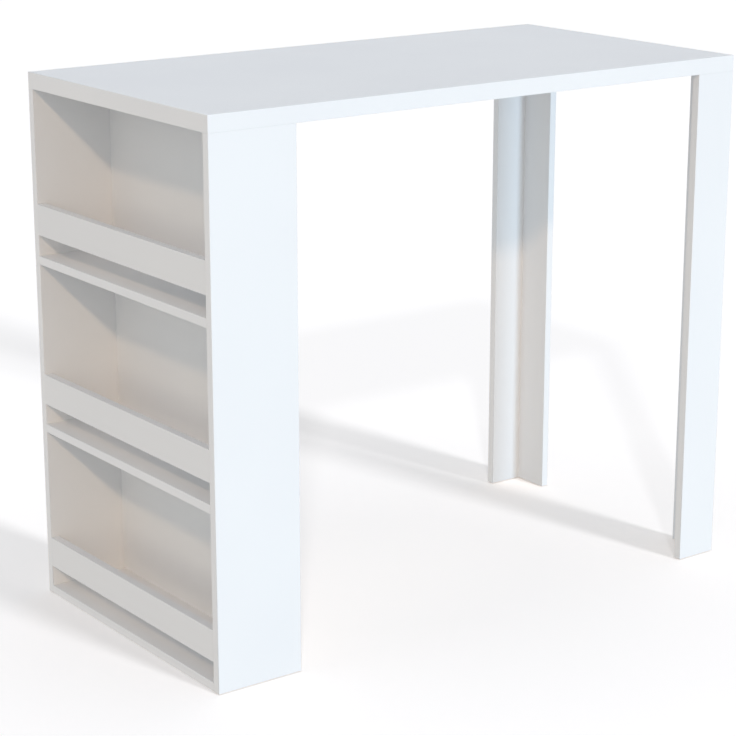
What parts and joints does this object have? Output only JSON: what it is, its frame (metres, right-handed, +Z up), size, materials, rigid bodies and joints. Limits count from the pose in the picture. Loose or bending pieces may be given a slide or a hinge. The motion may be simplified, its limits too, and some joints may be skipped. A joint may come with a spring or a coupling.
{
  "type": "bar table",
  "caption": "Tall bar table with a thick rectangular top on an open bottle cabinet, whose shelves have retaining rails, at one end and angled board legs at the other.",
  "frame": {"origin": "on the floor, at the middle of the table's length and depth", "axes": "+X along the length from the shelf cabinet to the legs, +Y from the front to the rear, +Z up"},
  "size_m": [1.18, 0.6, 1],
  "materials": {
    "white_melamine": "satin white melamine on chipboard",
    "white_edging": "satin white edging strip",
    "beech": "plain beech, fluted dowel stock",
    "zinc_casting": "dull grey zinc casting",
    "plated_steel": "bright zinc-plated steel",
    "white_cap_plastic": "satin white moulded plastic",
    "glide_plastic": "natural white polyethylene"
  },
  "bodies": {
    "root": {"table_top": "white_melamine", "cabinet_front_panel": "white_melamine", "cabinet_rear_panel": "white_melamine", "cabinet_back_panel": "white_melamine", "lower_shelf": "white_melamine", "lower_rail": "white_melamine", "middle_shelf": "white_melamine", "middle_rail": "white_melamine", "upper_shelf": "white_melamine", "upper_rail": "white_melamine", "front_leg_face_board": "white_melamine", "front_leg_end_board": "white_melamine", "rear_leg_face_board": "white_melamine", "rear_leg_end_board": "white_melamine", "table_top_edging": "white_edging", "cabinet_front_panel_edging": "white_edging", "cabinet_rear_panel_edging": "white_edging", "lower_shelf_edging": "white_edging", "lower_rail_edging": "white_edging", "middle_shelf_edging": "white_edging", "middle_rail_edging": "white_edging", "upper_shelf_edging": "white_edging", "upper_rail_edging": "white_edging", "front_leg_face_board_edging": "white_edging", "front_leg_end_board_edging": "white_edging", "rear_leg_face_board_edging": "white_edging", "rear_leg_end_board_edging": "white_edging", "shelf_dowels": "beech", "rail_dowels": "beech", "back_panel_dowels": "beech", "table_top_dowels": "beech", "leg_corner_dowels": "beech", "shelf_cams": "zinc_casting", "back_panel_cams": "zinc_casting", "leg_cams": "zinc_casting", "shelf_cam_bolts": "plated_steel", "back_panel_cam_bolts": "plated_steel", "leg_cam_bolts": "plated_steel", "back_panel_cam_caps": "white_cap_plastic", "leg_cam_caps": "white_cap_plastic", "floor_glides": "glide_plastic"}
  },
  "joints": []
}
